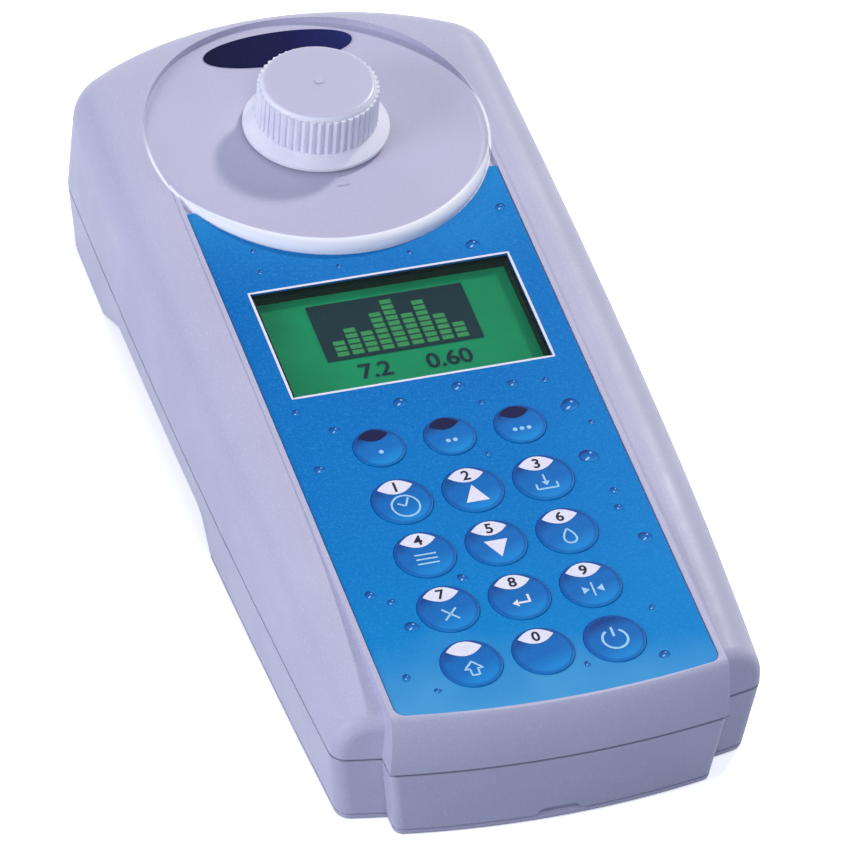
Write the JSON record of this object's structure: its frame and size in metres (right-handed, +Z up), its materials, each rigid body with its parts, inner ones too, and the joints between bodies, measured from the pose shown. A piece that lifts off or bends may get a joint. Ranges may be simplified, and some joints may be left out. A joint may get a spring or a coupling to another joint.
{
  "type": "pool water photometer",
  "caption": "Hand-held water photometer: split housing with arched underside, film keypad, display, and a round deck whose chamber takes a capped glass vial.",
  "frame": {"origin": "on the surface it rests on, under the middle of the whole part", "axes": "+X to the right of the keypad, +Y from the nose to the head with the vial, +Z up"},
  "size_m": [0.0958, 0.214, 0.0554],
  "materials": {
    "housing_grey": "fine-textured light lavender-grey moulded plastic",
    "seal_black": "soft black seal",
    "screw_steel": "plain steel screws",
    "film_blue": "bright blue printed film, satin gloss",
    "key_blue": "blue printed key faces with a dark rim",
    "window_clear": "clear window pane",
    "display_green": "green reflective display glass",
    "frame_black": "black moulded frame",
    "light_guide": "green-lit light guide",
    "board_green": "green circuit board",
    "dome_steel": "thin snap domes",
    "chamber_black": "matte black light-tight plastic",
    "led_clear": "clear lamp bodies",
    "filter_glass": "coated filter glass",
    "diode_black": "dark receiver windows",
    "cell_jacket": "plain metal cell jackets",
    "contact_nickel": "nickel-plated contacts and springs",
    "badge_navy": "plain dark navy badge",
    "vial_clear": "clear borosilicate glass",
    "liner_white": "white sealing liner",
    "cap_white": "slightly translucent white moulded plastic"
  },
  "bodies": {
    "housing": {"upper_housing": "housing_grey", "lower_housing": "housing_grey", "housing_seal": "seal_black", "housing_screws": "screw_steel", "battery_cover": "housing_grey", "battery_cover_seal": "seal_black", "battery_cover_screws": "screw_steel", "batteries": "cell_jacket", "battery_contacts": "contact_nickel", "keypad_film": "film_blue", "display_window": "window_clear", "display_glass": "display_green", "display_frame": "frame_black", "display_backlight": "light_guide", "main_board": "board_green", "board_screws": "screw_steel", "snap_domes": "dome_steel", "sample_chamber": "chamber_black", "chamber_seal": "seal_black", "chamber_screws": "screw_steel", "optics_board": "board_green", "leds": "led_clear", "interference_filters": "filter_glass", "photodiodes": "diode_black", "deck_badge": "badge_navy"},
    "vial": {"vial_glass": "vial_clear"},
    "liner": {"cap_liner": "liner_white"},
    "cap": {"vial_cap": "cap_white"},
    "key_f1": {"key_f1": "key_blue"},
    "key_f2": {"key_f2": "key_blue"},
    "key_f3": {"key_f3": "key_blue"},
    "key_1": {"key_1": "key_blue"},
    "key_2": {"key_2": "key_blue"},
    "key_3": {"key_3": "key_blue"},
    "key_4": {"key_4": "key_blue"},
    "key_5": {"key_5": "key_blue"},
    "key_6": {"key_6": "key_blue"},
    "key_7": {"key_7": "key_blue"},
    "key_8": {"key_8": "key_blue"},
    "key_9": {"key_9": "key_blue"},
    "key_shift": {"key_shift": "key_blue"},
    "key_0": {"key_0": "key_blue"},
    "key_on_off": {"key_on_off": "key_blue"}
  },
  "joints": [
    {"name": "vial_lift", "type": "slide", "parent": "housing", "child": "vial", "axis": [0, 0, 1], "range_m": [0, 0.06]},
    {"name": "cap_rise", "type": "slide", "parent": "vial", "child": "liner", "axis": [0, 0, 1], "range_m": [0, 0.0045]},
    {"name": "cap_turn", "type": "hinge", "parent": "liner", "child": "cap", "pos_m": [0, 0.0647, 0.0432], "axis": [0, 0, 1], "range_deg": [0, 540]},
    {"name": "key_f1_press", "type": "slide", "parent": "housing", "child": "key_f1", "axis": [0, 0.0732, -0.9973], "range_m": [0, 0.0004], "stiffness_N_per_m": 1500, "springref_m": -0.0004},
    {"name": "key_f2_press", "type": "slide", "parent": "housing", "child": "key_f2", "axis": [0, 0.0732, -0.9973], "range_m": [0, 0.0004], "stiffness_N_per_m": 1500, "springref_m": -0.0004},
    {"name": "key_f3_press", "type": "slide", "parent": "housing", "child": "key_f3", "axis": [0, 0.0732, -0.9973], "range_m": [0, 0.0004], "stiffness_N_per_m": 1500, "springref_m": -0.0004},
    {"name": "key_1_press", "type": "slide", "parent": "housing", "child": "key_1", "axis": [0, 0.0732, -0.9973], "range_m": [0, 0.0004], "stiffness_N_per_m": 1500, "springref_m": -0.0004},
    {"name": "key_2_press", "type": "slide", "parent": "housing", "child": "key_2", "axis": [0, 0.0732, -0.9973], "range_m": [0, 0.0004], "stiffness_N_per_m": 1500, "springref_m": -0.0004},
    {"name": "key_3_press", "type": "slide", "parent": "housing", "child": "key_3", "axis": [0, 0.0732, -0.9973], "range_m": [0, 0.0004], "stiffness_N_per_m": 1500, "springref_m": -0.0004},
    {"name": "key_4_press", "type": "slide", "parent": "housing", "child": "key_4", "axis": [0, 0.0732, -0.9973], "range_m": [0, 0.0004], "stiffness_N_per_m": 1500, "springref_m": -0.0004},
    {"name": "key_5_press", "type": "slide", "parent": "housing", "child": "key_5", "axis": [0, 0.0732, -0.9973], "range_m": [0, 0.0004], "stiffness_N_per_m": 1500, "springref_m": -0.0004},
    {"name": "key_6_press", "type": "slide", "parent": "housing", "child": "key_6", "axis": [0, 0.0732, -0.9973], "range_m": [0, 0.0004], "stiffness_N_per_m": 1500, "springref_m": -0.0004},
    {"name": "key_7_press", "type": "slide", "parent": "housing", "child": "key_7", "axis": [0, 0.0732, -0.9973], "range_m": [0, 0.0004], "stiffness_N_per_m": 1500, "springref_m": -0.0004},
    {"name": "key_8_press", "type": "slide", "parent": "housing", "child": "key_8", "axis": [0, 0.0732, -0.9973], "range_m": [0, 0.0004], "stiffness_N_per_m": 1500, "springref_m": -0.0004},
    {"name": "key_9_press", "type": "slide", "parent": "housing", "child": "key_9", "axis": [0, 0.0732, -0.9973], "range_m": [0, 0.0004], "stiffness_N_per_m": 1500, "springref_m": -0.0004},
    {"name": "key_shift_press", "type": "slide", "parent": "housing", "child": "key_shift", "axis": [0, 0.0732, -0.9973], "range_m": [0, 0.0004], "stiffness_N_per_m": 1500, "springref_m": -0.0004},
    {"name": "key_0_press", "type": "slide", "parent": "housing", "child": "key_0", "axis": [0, 0.0732, -0.9973], "range_m": [0, 0.0004], "stiffness_N_per_m": 1500, "springref_m": -0.0004},
    {"name": "key_on_off_press", "type": "slide", "parent": "housing", "child": "key_on_off", "axis": [0, 0.0732, -0.9973], "range_m": [0, 0.0004], "stiffness_N_per_m": 1500, "springref_m": -0.0004}
  ],
  "couplings": [
    {"joint": "cap_rise", "follows": "cap_turn", "m_per_rad": 0.00047746}
  ]
}
